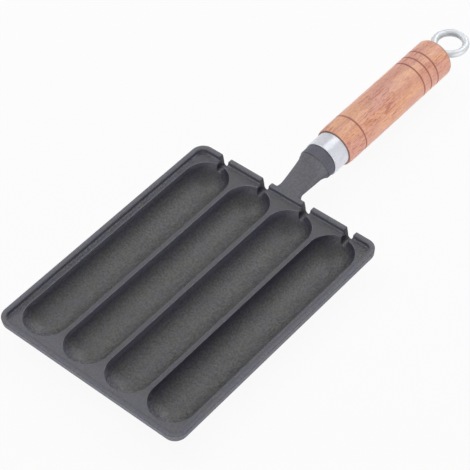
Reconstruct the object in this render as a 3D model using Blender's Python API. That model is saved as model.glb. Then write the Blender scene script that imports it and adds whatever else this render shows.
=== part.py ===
"""A cast-iron sausage grill pan with four troughs, stick notches and a turned wooden grip.

All sizes are metres. +X runs across the troughs, +Y runs from the front edge to the hanging ring,
and +Z is up. Z = 0 is the table under the trough feet.
"""

import math

import bpy
import bmesh
from mathutils import Vector

# Plate and rim
PLATE_WIDTH = 0.170
PLATE_LENGTH = 0.2176
CORNER_RADIUS = 0.010
RIM_WIDTH = 0.0040
RIM_HEIGHT = 0.0036
RIM_EDGE_RADIUS = 0.0005
RIM_FOOT_RADIUS = 0.0005
PLATE_THICKNESS = 0.0032
EDGE_DRAFT = 0.0004
EDGE_UNDERCUT = 0.0022
LEAST_CORNER = 0.0010

# Troughs
TROUGH_COUNT = 4
TROUGH_PITCH = 0.0394
TROUGH_WIDTH = 0.0358
TROUGH_DEPTH = 0.0140
TROUGH_WALL = 0.0032
MOUTH_EASE = 0.0006
FRONT_MARGIN = 0.0080
BACK_MARGIN = 0.0075
FOOT_FLAT = 0.0008
FLOOR_FLAT = 0.0012

# Back bar and stick notches
BAR_HEIGHT = 0.0125
BAR_DRAFT = 0.0015
BAR_END_INSET = 0.0060
NOTCH_WIDTH = 0.0082
NOTCH_DEPTH = 0.0095
NOTCH_DRAFT = 0.0004

# Neck and collar
GRIP_RISE = 0.00335
NECK_LENGTH = 0.0310
NECK_ROOT_WIDTH = 0.0194
NECK_END_WIDTH = 0.0230
NECK_END_RISE = 0.0147
NECK_CURVE = 1.15
NECK_ROOT_BELOW = 0.0009
NECK_END_BELOW = 0.0064
ROOT_FILLET = 0.0042
ROOT_SPREAD = 0.0026
ROOT_DROP = 0.0050
FLARE_LENGTH = 0.0066
ROOT_SECTION = 3.0
END_SECTION = 2.4
ROUND_SECTION = 2.0
COLLAR_RADIUS = 0.0136
COLLAR_TAPER = 0.0002
COLLAR_LENGTH = 0.0067
COLLAR_EDGE = 0.0002

# Grip, ferrule and their joint
FERRULE_RADIUS = 0.0143
FERRULE_WALL = 0.0008
FERRULE_LENGTH = 0.0149
FERRULE_EDGE = 0.0003
SPIGOT_RECESS = 0.0010
GRIP_LENGTH = 0.1265
GRIP_JOINT_RADIUS = 0.0157
GRIP_MIDDLE_RADIUS = 0.01625
GRIP_SWELL_LENGTH = 0.0080
GRIP_END_ROUNDING = 0.0036
GRIP_CHAMFER = 0.0006
GROOVE_WIDTH = 0.0014
GROOVE_DEPTH = 0.0005
FRONT_GROOVE = 0.0188
END_GROOVE = 0.0186
END_GROOVE_SPACING = 0.0085
END_GROOVE_COUNT = 3

# Eye bolt and washer
ROD_RADIUS = 0.0028
THREAD_RADIUS = 0.0030
THREAD_LENGTH = 0.0180
THREAD_ENGAGEMENT = 0.0100
RING_RADIUS = 0.0124
RING_WIRE_RADIUS = 0.00285
SHOULDER_RADIUS = 0.0060
SHOULDER_LENGTH = 0.0016
SHOULDER_EDGE = 0.0006
WASHER_RADIUS = 0.0080
WASHER_THICKNESS = 0.0012

# Clearances
SEAT_GAP = 0.0003
ROD_CLEARANCE = 0.0004
GRIP_BORE_CLEARANCE = 0.0007
THREAD_RUNOUT = 0.0030
CUT_MARGIN = 0.0030

# Facets
CORNER_STEPS = 8
END_STEPS = 12
WALL_STEPS = 9
EDGE_STEPS = 3
GRIP_STEPS = 5
ROUND_STEPS = 40
BORE_STEPS = 20
NECK_STATIONS = 16
WIRE_STEPS = 12
SMOOTH_ANGLE = math.radians(32)

# Places worked out from the sizes
ARC_RADIUS = ((TROUGH_WIDTH / 2) ** 2 + TROUGH_DEPTH ** 2) / (2 * TROUGH_DEPTH)
ARC_RISE = ARC_RADIUS - TROUGH_DEPTH
LAND_Z = TROUGH_DEPTH + TROUGH_WALL - FOOT_FLAT
RIM_Z = LAND_Z + RIM_HEIGHT
UNDERSIDE_Z = LAND_Z - PLATE_THICKNESS
AXIS_Z = RIM_Z + GRIP_RISE
COLLAR_REACH = NECK_LENGTH + COLLAR_LENGTH
GRIP_FRONT = COLLAR_REACH + SEAT_GAP
JOINT_REACH = GRIP_FRONT + FERRULE_LENGTH + SEAT_GAP
GRIP_REACH = JOINT_REACH + GRIP_LENGTH
WASHER_REACH = GRIP_REACH + SEAT_GAP + WASHER_THICKNESS
SHOULDER_FRONT = WASHER_REACH + SEAT_GAP
RING_CENTRE_REACH = SHOULDER_FRONT + SHOULDER_LENGTH + RING_WIRE_RADIUS + RING_RADIUS
HANDLE_REACH = RING_CENTRE_REACH + RING_RADIUS + RING_WIRE_RADIUS
FRONT_Y = -(PLATE_LENGTH + HANDLE_REACH) / 2
BACK_Y = FRONT_Y + PLATE_LENGTH
PLATE_CENTRE_Y = (FRONT_Y + BACK_Y) / 2
TROUGH_FRONT_Y = FRONT_Y + FRONT_MARGIN
TROUGH_BACK_Y = BACK_Y - BACK_MARGIN


def clear_scene():
    """Empties the scene without closing the file."""
    for thing in list(bpy.data.objects):
        bpy.data.objects.remove(thing, do_unlink=True)


def material(name, colour, roughness, metallic):
    """A Principled material of one colour."""
    made = bpy.data.materials.new(name)
    made.use_nodes = True
    shader = made.node_tree.nodes["Principled BSDF"]
    shader.inputs["Base Color"].default_value = (*colour, 1.0)
    shader.inputs["Roughness"].default_value = roughness
    shader.inputs["Metallic"].default_value = metallic
    made.diffuse_color = (*colour, 1.0)
    return made


def mesh_object(name, points, faces):
    """An object from points and faces, its faces turned outwards."""
    mesh = bpy.data.meshes.new(name)
    mesh.from_pydata([tuple(point) for point in points], [], faces)
    work = bmesh.new()
    work.from_mesh(mesh)
    bmesh.ops.recalc_face_normals(work, faces=work.faces)
    work.to_mesh(mesh)
    work.free()
    made = bpy.data.objects.new(name, mesh)
    bpy.context.scene.collection.objects.link(made)
    return made


def loft(name, loops):
    """A closed solid through loops of equally many points, capped at both ends."""
    count = len(loops[0])
    points = [point for loop in loops for point in loop]
    faces = [tuple(range(count))[::-1]]
    for level in range(len(loops) - 1):
        low = level * count
        high = low + count
        for step in range(count):
            after = (step + 1) % count
            faces.append((low + step, low + after, high + after, high + step))
    last = (len(loops) - 1) * count
    faces.append(tuple(range(last, last + count)))
    return mesh_object(name, points, faces)


def turned(name, profile, steps, centre_z):
    """A solid turned about the grip's axis from (reach past the back edge, radius) pairs.

    A profile that starts and ends on the axis is closed by two end points there;
    any other profile is a closed section, such as a tube's wall.
    """
    on_axis = profile[0][1] == 0.0
    rings = profile[1:-1] if on_axis else profile
    points = []
    for reach, radius in rings:
        for step in range(steps):
            angle = 2 * math.pi * step / steps
            points.append((radius * math.cos(angle), BACK_Y + reach, centre_z + radius * math.sin(angle)))
    faces = []
    pairs = len(rings) - 1 if on_axis else len(rings)
    for ring in range(pairs):
        low = ring * steps
        high = ((ring + 1) % len(rings)) * steps
        for step in range(steps):
            after = (step + 1) % steps
            faces.append((low + step, low + after, high + after, high + step))
    if on_axis:
        for end, ring in ((profile[0], 0), (profile[-1], len(rings) - 1)):
            points.append((0.0, BACK_Y + end[0], centre_z))
            tip = len(points) - 1
            for step in range(steps):
                after = (step + 1) % steps
                faces.append((ring * steps + step, ring * steps + after, tip))
    return mesh_object(name, points, faces)


def apply_boolean(target, tool, operation):
    """Joins or cuts one object with another and removes the tool."""
    step = target.modifiers.new(operation.lower(), "BOOLEAN")
    step.operation = operation
    step.solver = "EXACT"
    step.object = tool
    graph = bpy.context.evaluated_depsgraph_get()
    graph.update()
    result = bpy.data.meshes.new_from_object(target.evaluated_get(graph))
    target.modifiers.remove(step)
    old = target.data
    target.data = result
    bpy.data.meshes.remove(old)
    bpy.data.objects.remove(tool, do_unlink=True)


def finish(thing, made_material):
    """Gives a piece its material and smooth shading between its real edges."""
    thing.data.materials.clear()
    thing.data.materials.append(made_material)
    thing.data.shade_smooth()
    thing.data.set_sharp_from_angle(angle=SMOOTH_ANGLE)


def set_origin(thing, place):
    """Moves an object's origin without moving its surface."""
    shift = Vector(place)
    for vertex in thing.data.vertices:
        vertex.co -= shift
    thing.location = shift


def rounded_rectangle(inset, z):
    """The plate's outline, drawn in by inset, at one height."""
    corner = max(CORNER_RADIUS - inset, LEAST_CORNER)
    half = PLATE_WIDTH / 2 - inset - corner
    front = FRONT_Y + inset + corner
    back = BACK_Y - inset - corner
    loop = []
    for x, y, start in ((half, back, 0), (-half, back, 90), (-half, front, 180), (half, front, 270)):
        for step in range(CORNER_STEPS + 1):
            angle = math.radians(start + 90 * step / CORNER_STEPS)
            loop.append((x + corner * math.cos(angle), y + corner * math.sin(angle), z))
    return loop


def stadium(x, half_width, front, back, z):
    """A slot outline with round ends whose tips lie at front and back."""
    loop = []
    for y, start in ((back - half_width, 0), (front + half_width, 180)):
        for step in range(END_STEPS + 1):
            angle = math.radians(start + 180 * step / END_STEPS)
            loop.append((x + half_width * math.cos(angle), y + half_width * math.sin(angle), z))
    return loop


def trough_form(x, radius, low_angle, top_z):
    """A trough's round-bottomed form, either its hollow or the outer skin of its wall.

    Its section is an arc about a line above the land, and its ends are the same arc turned about
    an upright line. The arc starts low_angle away from straight down, which leaves a level strip.
    """
    centre_z = LAND_Z + ARC_RISE
    high_angle = math.acos((centre_z - top_z) / radius)
    loops = []
    for step in range(WALL_STEPS + 1):
        angle = low_angle + (high_angle - low_angle) * step / WALL_STEPS
        half_width = radius * math.sin(angle)
        reach = half_width - TROUGH_WIDTH / 2
        z = centre_z - radius * math.cos(angle)
        loops.append(stadium(x, half_width, TROUGH_FRONT_Y - reach, TROUGH_BACK_Y + reach, z))
    return loops


def trough_skin(x):
    """The outside of one trough's even wall, cut level where it stands on the table."""
    radius = ARC_RADIUS + TROUGH_WALL
    foot_angle = math.acos((LAND_Z + ARC_RISE) / radius)
    return loft("skin", trough_form(x, radius, foot_angle, (UNDERSIDE_Z + LAND_Z) / 2))


def trough_hollow(x):
    """The hollow of one trough with its eased mouth."""
    floor_angle = math.asin(FLOOR_FLAT / 2 / ARC_RADIUS)
    loops = trough_form(x, ARC_RADIUS, floor_angle, LAND_Z - MOUTH_EASE)
    for ease in (0.0, MOUTH_EASE):
        loops.append(stadium(x, TROUGH_WIDTH / 2 + ease, TROUGH_FRONT_Y - ease, TROUGH_BACK_Y + ease,
                             LAND_Z + ease))
    return loft("hollow", loops)


def trough_places():
    """The centre line of each trough."""
    return [(number - (TROUGH_COUNT - 1) / 2) * TROUGH_PITCH for number in range(TROUGH_COUNT)]


def plate():
    """The flat plate with its raised rim: outlines from the underside up, over the rim and down inside."""
    edge = RIM_EDGE_RADIUS
    foot = RIM_FOOT_RADIUS
    loops = []
    for step in range(EDGE_STEPS + 1):
        angle = math.pi / 2 * step / EDGE_STEPS
        loops.append(rounded_rectangle(EDGE_DRAFT + EDGE_UNDERCUT * (1 - math.sin(angle)),
                                       UNDERSIDE_Z + EDGE_UNDERCUT * (1 - math.cos(angle))))
    return loft("plate", loops + [
        rounded_rectangle(0.0, RIM_Z - edge),
        rounded_rectangle(edge, RIM_Z),
        rounded_rectangle(RIM_WIDTH - edge, RIM_Z),
        rounded_rectangle(RIM_WIDTH, RIM_Z - edge),
        rounded_rectangle(RIM_WIDTH, LAND_Z + foot),
        rounded_rectangle(RIM_WIDTH + foot, LAND_Z),
    ])


def back_bar():
    """The bar under the back edge, which is cut by the notches and carries the neck."""
    half = PLATE_WIDTH / 2 - CORNER_RADIUS
    top = (UNDERSIDE_Z + LAND_Z) / 2
    bottom = RIM_Z - BAR_HEIGHT
    inner = TROUGH_BACK_Y - BACK_MARGIN / 2
    loops = []
    for level in range(3):
        z = (bottom, bottom + BAR_DRAFT, top)[level]
        side = half - BAR_END_INSET * (2 - level) / 2
        back = BACK_Y - EDGE_DRAFT - BAR_DRAFT * (2 - level) / 2
        loops.append([(side, inner, z), (side, back, z), (-side, back, z), (-side, inner, z)])
    return loft("back_bar", loops)


def notch(x):
    """A round-bottomed slot for a stick, from inside the trough out past the back edge."""
    radius = NOTCH_WIDTH / 2 - NOTCH_DRAFT
    floor = RIM_Z - NOTCH_DEPTH
    top = RIM_Z + CUT_MARGIN
    outline = [(NOTCH_WIDTH / 2 + NOTCH_DRAFT, top)]
    for step in range(END_STEPS + 1):
        angle = math.pi * step / END_STEPS
        outline.append((radius * math.cos(angle), floor + radius - radius * math.sin(angle)))
    outline.append((-NOTCH_WIDTH / 2 - NOTCH_DRAFT, top))
    start = TROUGH_BACK_Y - TROUGH_WIDTH / 2
    loops = [[(x + across, y, z) for across, z in outline] for y in (start, BACK_Y + CUT_MARGIN)]
    return loft("notch", loops)


def mix(low, high, share):
    """The value that lies share of the way from low to high."""
    return low + (high - low) * share


def neck_loop(reach):
    """The neck's section at one distance behind the back edge.

    It leaves the rim through root fillets, widens evenly and flares into the round collar.
    """
    along = reach / NECK_LENGTH
    fillet = 1.0 - math.sqrt(1.0 - max(1.0 - reach / ROOT_FILLET, 0.0) ** 2)
    share = max(1.0 - (NECK_LENGTH - reach) / FLARE_LENGTH, 0.0)
    flare = share * share * (3.0 - 2.0 * share)
    round_end = COLLAR_RADIUS - COLLAR_TAPER
    half_width = mix(NECK_ROOT_WIDTH, NECK_END_WIDTH, along) / 2 + ROOT_SPREAD * fillet
    top = RIM_Z + NECK_END_RISE * along ** NECK_CURVE
    bottom = RIM_Z - mix(NECK_ROOT_BELOW, NECK_END_BELOW, along) - ROOT_DROP * fillet
    return neck_section(
        BACK_Y + reach,
        mix(half_width, round_end, flare),
        mix(bottom, AXIS_Z - round_end, flare),
        mix(top, AXIS_Z + round_end, flare),
        mix(mix(ROOT_SECTION, END_SECTION, along), ROUND_SECTION, flare),
    )


def neck():
    """The cast neck from inside the rim to the round collar that the ferrule butts against."""
    loops = [neck_section(BACK_Y - RIM_WIDTH / 2, NECK_ROOT_WIDTH / 2 + ROOT_SPREAD,
                          RIM_Z - NECK_ROOT_BELOW - ROOT_DROP, RIM_Z - RIM_EDGE_RADIUS, ROOT_SECTION)]
    for step in range(NECK_STATIONS + 1):
        loops.append(neck_loop(NECK_LENGTH * (1 - math.cos(math.pi * step / NECK_STATIONS)) / 2))
    for ease in (0.0, COLLAR_EDGE):
        radius = COLLAR_RADIUS - ease
        loops.append(neck_section(BACK_Y + COLLAR_REACH - COLLAR_EDGE + ease, radius, AXIS_Z - radius,
                                  AXIS_Z + radius, ROUND_SECTION))
    return loft("neck", loops)


def neck_section(y, half_width, bottom, top, squareness):
    """A rounded section of the neck: an ellipse at squareness 2, a soft rectangle above it."""
    middle = (top + bottom) / 2
    height = (top - bottom) / 2
    loop = []
    for point in range(ROUND_STEPS):
        angle = 2 * math.pi * point / ROUND_STEPS
        across = math.copysign(abs(math.cos(angle)) ** (2 / squareness), math.cos(angle))
        up = math.copysign(abs(math.sin(angle)) ** (2 / squareness), math.sin(angle))
        loop.append((half_width * across, y, middle + height * up))
    return loop


def bolt_hole():
    """The tapped hole in the collar, at the thread's own radius and a clearance."""
    radius = THREAD_RADIUS + ROD_CLEARANCE
    floor = COLLAR_REACH - THREAD_ENGAGEMENT - THREAD_RUNOUT
    return turned("bolt_hole", [
        (floor - radius / 2, 0.0),
        (floor, radius),
        (COLLAR_REACH + CUT_MARGIN, radius),
        (COLLAR_REACH + CUT_MARGIN, 0.0),
    ], BORE_STEPS, AXIS_Z)


def pan_casting():
    """The whole iron casting, with troughs of even wall, notches, neck and collar."""
    body = plate()
    body.name = "pan_casting"
    for x in trough_places():
        apply_boolean(body, trough_skin(x), "UNION")
    apply_boolean(body, back_bar(), "UNION")
    apply_boolean(body, neck(), "UNION")
    for x in trough_places():
        apply_boolean(body, trough_hollow(x), "DIFFERENCE")
        apply_boolean(body, notch(x), "DIFFERENCE")
    apply_boolean(body, bolt_hole(), "DIFFERENCE")
    finish(body, material("cast_iron", (0.115, 0.116, 0.124), 0.62, 0.35))
    return body


def ferrule():
    """The tube that binds the front of the grip."""
    front = GRIP_FRONT
    back = front + FERRULE_LENGTH
    bore = FERRULE_RADIUS - FERRULE_WALL
    made = turned("ferrule", [
        (front, bore),
        (front, FERRULE_RADIUS - FERRULE_EDGE),
        (front + FERRULE_EDGE, FERRULE_RADIUS),
        (back - FERRULE_EDGE, FERRULE_RADIUS),
        (back, FERRULE_RADIUS - FERRULE_EDGE),
        (back, bore),
    ], ROUND_STEPS, AXIS_Z)
    finish(made, material("zinc_plate", (0.78, 0.79, 0.81), 0.25, 1.0))
    return made


def grip_radius(reach):
    """The grip's swell: it fills out quickly past the joint and is even from there on."""
    share = min((reach - JOINT_REACH) / GRIP_SWELL_LENGTH, 1.0)
    return GRIP_JOINT_RADIUS + (GRIP_MIDDLE_RADIUS - GRIP_JOINT_RADIUS) * math.sin(share * math.pi / 2)


def wooden_grip():
    """The turned grip: a spigot for the ferrule, four scorched grooves, a round end and a through bore."""
    bore = ROD_RADIUS + GRIP_BORE_CLEARANCE
    spigot = FERRULE_RADIUS - FERRULE_WALL - SEAT_GAP
    grooves = [JOINT_REACH + FRONT_GROOVE]
    for number in reversed(range(END_GROOVE_COUNT)):
        grooves.append(GRIP_REACH - END_GROOVE - END_GROOVE_SPACING * number)
    profile = [
        (GRIP_FRONT + SPIGOT_RECESS, bore),
        (GRIP_FRONT + SPIGOT_RECESS, spigot),
        (JOINT_REACH, spigot),
        (JOINT_REACH, GRIP_JOINT_RADIUS - GRIP_CHAMFER),
    ]
    for step in range(GRIP_STEPS + 1):
        place = JOINT_REACH + mix(GRIP_CHAMFER, GRIP_SWELL_LENGTH, step / GRIP_STEPS)
        profile.append((place, grip_radius(place)))
    for place in grooves:
        profile.append((place - GROOVE_WIDTH / 2, grip_radius(place)))
        profile.append((place, grip_radius(place) - GROOVE_DEPTH))
        profile.append((place + GROOVE_WIDTH / 2, grip_radius(place)))
    for step in range(1, GRIP_STEPS):
        place = grooves[0] + (grooves[1] - grooves[0]) * step / GRIP_STEPS
        profile.append((place, grip_radius(place)))
    profile.sort(key=lambda pair: pair[0])
    shoulder = GRIP_REACH - GRIP_END_ROUNDING
    rounded = grip_radius(shoulder)
    for step in range(GRIP_STEPS + 1):
        angle = math.pi / 2 * step / GRIP_STEPS
        profile.append((shoulder + GRIP_END_ROUNDING * math.sin(angle),
                        rounded - GRIP_END_ROUNDING * (1 - math.cos(angle))))
    profile.append((GRIP_REACH, bore))
    made = turned("wooden_grip", profile, ROUND_STEPS, AXIS_Z)
    finish(made, material("wood", (0.62, 0.33, 0.20), 0.55, 0.0))
    return made


def end_washer():
    """The washer between the grip's end and the eye bolt's shoulder."""
    front = GRIP_REACH + SEAT_GAP
    bore = ROD_RADIUS + ROD_CLEARANCE
    made = turned("end_washer", [
        (front, bore),
        (front, WASHER_RADIUS),
        (WASHER_REACH, WASHER_RADIUS),
        (WASHER_REACH, bore),
    ], ROUND_STEPS, AXIS_Z)
    finish(made, material("washer_plate", (0.74, 0.75, 0.77), 0.3, 1.0))
    set_origin(made, (0.0, BACK_Y + front, AXIS_Z))
    return made


def ring(name, centre_y):
    """The closed ring, lying level, made by sweeping the wire round a circle."""
    points = []
    for turn in range(ROUND_STEPS):
        around = 2 * math.pi * turn / ROUND_STEPS
        for step in range(WIRE_STEPS):
            angle = 2 * math.pi * step / WIRE_STEPS
            radius = RING_RADIUS + RING_WIRE_RADIUS * math.cos(angle)
            height = AXIS_Z + RING_WIRE_RADIUS * math.sin(angle)
            points.append((radius * math.sin(around), centre_y - radius * math.cos(around), height))
    faces = []
    for turn in range(ROUND_STEPS):
        low = turn * WIRE_STEPS
        high = (turn + 1) % ROUND_STEPS * WIRE_STEPS
        for step in range(WIRE_STEPS):
            after = (step + 1) % WIRE_STEPS
            faces.append((low + step, low + after, high + after, high + step))
    return mesh_object(name, points, faces)


def eye_bolt():
    """The long bolt that runs through the grip into the collar and ends in the hanging ring."""
    tip = COLLAR_REACH - THREAD_ENGAGEMENT
    thread_end = tip + THREAD_LENGTH
    lead = THREAD_RADIUS - ROD_RADIUS
    back = SHOULDER_FRONT + SHOULDER_LENGTH
    rod = turned("rod", [
        (tip, 0.0),
        (tip, ROD_RADIUS - lead * 2),
        (tip + lead * 3, THREAD_RADIUS),
        (thread_end, THREAD_RADIUS),
        (thread_end + lead, ROD_RADIUS),
        (SHOULDER_FRONT, ROD_RADIUS),
        (SHOULDER_FRONT, SHOULDER_RADIUS - SHOULDER_EDGE),
        (SHOULDER_FRONT + SHOULDER_EDGE, SHOULDER_RADIUS),
        (back - SHOULDER_EDGE, SHOULDER_RADIUS),
        (back, SHOULDER_RADIUS - SHOULDER_EDGE),
        (back + RING_WIRE_RADIUS, RING_WIRE_RADIUS),
        (back + RING_WIRE_RADIUS, 0.0),
    ], BORE_STEPS, AXIS_Z)
    made = ring("eye_bolt", BACK_Y + RING_CENTRE_REACH)
    apply_boolean(made, rod, "UNION")
    finish(made, material("bright_zinc", (0.76, 0.77, 0.79), 0.22, 1.0))
    set_origin(made, (0.0, BACK_Y + RING_CENTRE_REACH, AXIS_Z))
    return made


def main():
    clear_scene()
    pan_casting()
    ferrule()
    wooden_grip()
    end_washer()
    eye_bolt()


main()
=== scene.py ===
"""Looks of a cast-iron sausage grill pan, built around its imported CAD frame.

Every piece stands for one CAD node and keeps that node's place and size. All sizes are metres.
"""

import math

import bpy
import bmesh
from bpy.props import FloatProperty, FloatVectorProperty, IntProperty, PointerProperty
from mathutils import Matrix, Vector


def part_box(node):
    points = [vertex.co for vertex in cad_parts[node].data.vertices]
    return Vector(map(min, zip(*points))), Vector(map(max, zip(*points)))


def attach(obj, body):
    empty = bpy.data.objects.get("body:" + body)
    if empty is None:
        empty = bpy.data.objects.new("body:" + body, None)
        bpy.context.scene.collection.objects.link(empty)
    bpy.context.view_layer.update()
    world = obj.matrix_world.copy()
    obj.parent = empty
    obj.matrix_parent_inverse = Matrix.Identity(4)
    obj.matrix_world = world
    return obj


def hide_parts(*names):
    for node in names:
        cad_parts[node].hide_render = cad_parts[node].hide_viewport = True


bl_info = {
    "name": "Sausage grill pan",
    "version": (1, 0, 0),
    "blender": (4, 5, 0),
    "location": "3D View > Sidebar > Grill Pan",
    "description": "Builds the finished pan casting, ferrule, grip, washer and hanging ring",
    "category": "Object",
}

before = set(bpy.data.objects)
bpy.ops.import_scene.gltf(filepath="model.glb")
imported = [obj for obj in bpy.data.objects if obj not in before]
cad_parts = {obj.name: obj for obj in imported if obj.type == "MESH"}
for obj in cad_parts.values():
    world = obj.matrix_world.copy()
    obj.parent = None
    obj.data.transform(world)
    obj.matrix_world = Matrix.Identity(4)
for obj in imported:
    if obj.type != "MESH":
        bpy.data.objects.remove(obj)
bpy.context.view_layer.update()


def box_of(node):
    """The lowest and highest corners of a CAD node."""
    low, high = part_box(node)
    return Vector(low), Vector(high)


PAN_LOW, PAN_HIGH = box_of("pan_casting")
FERRULE_LOW, FERRULE_HIGH = box_of("ferrule")
GRIP_LOW, GRIP_HIGH = box_of("wooden_grip")
WASHER_LOW, WASHER_HIGH = box_of("end_washer")
BOLT_LOW, BOLT_HIGH = box_of("eye_bolt")
AXIS_Z = (FERRULE_LOW.z + FERRULE_HIGH.z) / 2
FRONT_Y = PAN_LOW.y


def srgb(red, green, blue):
    """A colour as the eye reads it, 0 to 255, turned into Blender's linear values."""
    linear = []
    for channel in (red, green, blue):
        share = channel / 255
        linear.append(share / 12.92 if share <= 0.04045 else ((share + 0.055) / 1.055) ** 2.4)
    return tuple(linear)


def length(name, description, default):
    """A length property in metres."""
    return FloatProperty(name=name, description=description, default=default, unit="LENGTH",
                         min=0.0, precision=5)


def colour(name, description, default):
    """A colour property."""
    return FloatVectorProperty(name=name, description=description, default=default, subtype="COLOR",
                               size=3, min=0.0, max=1.0)


class CastingSizes(bpy.types.PropertyGroup):
    """Sizes of the iron casting."""

    plate_length: length("Plate length", "Length of the plate along the troughs", 0.2176)
    corner_radius: length("Corner radius", "Radius of the plate's corners", 0.010)
    rim_width: length("Rim width", "Width of the raised rim", 0.0040)
    rim_height: length("Rim height", "Height of the rim above the land", 0.0036)
    rim_rounding: length("Rim rounding", "Radius along the rim's edges", 0.0005)
    ledge_width: length("Ledge width", "Width of the slope at the rim's foot", 0.0020)
    ledge_height: length("Ledge height", "Height of the slope at the rim's foot", 0.0005)
    plate_thickness: length("Plate thickness", "Thickness of the plate between the troughs", 0.0032)
    edge_draft: length("Edge draft", "How far the outer wall leans in below the rim", 0.0004)
    edge_rounding: length("Edge rounding", "Radius under the plate's outer edge", 0.0022)
    trough_count: IntProperty(name="Troughs", description="Number of troughs", default=4, min=1)
    trough_pitch: length("Trough pitch", "Distance between neighbouring troughs", 0.0394)
    trough_width: length("Trough width", "Width of each trough at the land", 0.0358)
    trough_depth: length("Trough depth", "Depth of each trough below the land", 0.0140)
    wall: length("Trough wall", "Thickness of the iron under each trough", 0.0032)
    mouth_rounding: length("Mouth rounding", "Radius along each trough's mouth", 0.0004)
    front_margin: length("Front margin", "Land from the front edge to the troughs", 0.0080)
    back_margin: length("Back margin", "Land from the troughs to the back edge", 0.0075)
    bar_height: length("Bar height", "Depth of the bar under the back edge", 0.0125)
    bar_draft: length("Bar draft", "How far the bar leans in", 0.0015)
    bar_end_inset: length("Bar end inset", "How far the bar's ends lean in", 0.0060)
    notch_width: length("Notch width", "Width of each stick notch at the rim's top", 0.0082)
    notch_floor: length("Notch floor", "Radius of each notch's round floor", 0.0030)
    notch_depth: length("Notch depth", "Depth of each notch below the rim", 0.0095)
    notch_rounding: length("Notch rounding", "Radius along each notch's edges", 0.0006)


class NeckSizes(bpy.types.PropertyGroup):
    """Sizes of the neck and collar of the casting."""

    neck_length: length("Neck length", "From the rim to the collar", 0.0310)
    root_width: length("Root width", "Width of the neck at the rim", 0.0194)
    end_width: length("End width", "Width of the neck where it meets the flare", 0.0230)
    end_rise: length("End rise", "Height of the neck's top above the rim at the collar", 0.0147)
    root_below: length("Root below", "Depth of the neck's underside below the rim at its root", 0.0009)
    end_below: length("End below", "Depth of the neck's underside below the rim at the collar", 0.0064)
    root_fillet: length("Root fillet", "Length of the fillet at the rim", 0.0050)
    root_spread: length("Root spread", "Extra half width at the rim", 0.0036)
    root_drop: length("Root drop", "Extra depth at the rim", 0.0050)
    flare_length: length("Flare length", "Length of the flare into the collar", 0.0066)
    flare_share: FloatProperty(name="Flare share", default=0.58, min=0.0, max=1.0,
                               description="How much of the way to the collar's round the flare goes")
    collar_step_length: length("Collar step", "Length of the last step up to the collar", 0.0005)
    collar_lean: FloatProperty(name="Collar lean", default=0.20, min=0.0, max=0.4,
                               description="How far the collar's front edge leans, as a share of its height")
    lean_length: length("Lean length", "Length of neck over which the lean grows", 0.0140)
    collar_radius: length("Collar radius", "Radius of the round collar", 0.0136)
    collar_taper: length("Collar taper", "How much thinner the collar is at the neck", 0.0002)
    collar_rounding: length("Collar rounding", "Radius along the collar's end", 0.0002)
    hole_radius: length("Hole radius", "Radius of the tapped hole", 0.0034)
    hole_depth: length("Hole depth", "Depth of the tapped hole", 0.0130)


class GripSizes(bpy.types.PropertyGroup):
    """Sizes of the turned grip and the ferrule."""

    joint_radius: length("Joint radius", "Radius of the grip at the ferrule", 0.0157)
    swell_length: length("Swell length", "Length over which the grip fills out", 0.0080)
    end_rounding: length("End rounding", "Radius round the grip's end", 0.0036)
    chamfer: length("Chamfer", "Chamfer of the grip at the ferrule", 0.0006)
    bore_radius: length("Bore radius", "Radius of the bore along the grip", 0.0035)
    spigot_clearance: length("Spigot clearance", "Gap between the spigot and the ferrule", 0.0003)
    ferrule_wall: length("Ferrule wall", "Thickness of the ferrule's tube", 0.0008)
    ferrule_rounding: length("Ferrule rounding", "Radius along the ferrule's ends", 0.0003)
    groove_width: length("Groove width", "Width of each scorched groove", 0.0014)
    groove_depth: length("Groove depth", "Depth of each scorched groove", 0.0005)
    front_groove: length("Front groove", "From the ferrule to the first groove", 0.0188)
    end_groove: length("End groove", "From the grip's end to the last groove", 0.0186)
    groove_spacing: length("Groove spacing", "Distance between the end grooves", 0.0085)
    groove_count: IntProperty(name="End grooves", description="Number of end grooves", default=3, min=1)


class BoltSizes(bpy.types.PropertyGroup):
    """Sizes of the eye bolt and its washer."""

    ring_radius: length("Ring radius", "Radius of the ring's wire line", 0.0124)
    wire_radius: length("Wire radius", "Radius of the ring's wire", 0.00285)
    rod_radius: length("Rod radius", "Radius of the long rod", 0.0028)
    thread_radius: length("Thread radius", "Outer radius of the thread", 0.0030)
    thread_length: length("Thread length", "Length of the thread", 0.0180)
    shoulder_radius: length("Shoulder radius", "Radius of the shoulder", 0.0060)
    shoulder_length: length("Shoulder length", "Length of the shoulder", 0.0016)
    shoulder_rounding: length("Shoulder rounding", "Radius along the shoulder's edges", 0.0006)
    washer_bore: length("Washer bore", "Radius of the washer's hole", 0.0032)
    washer_rounding: length("Washer rounding", "Radius along the washer's edges", 0.0003)


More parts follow.
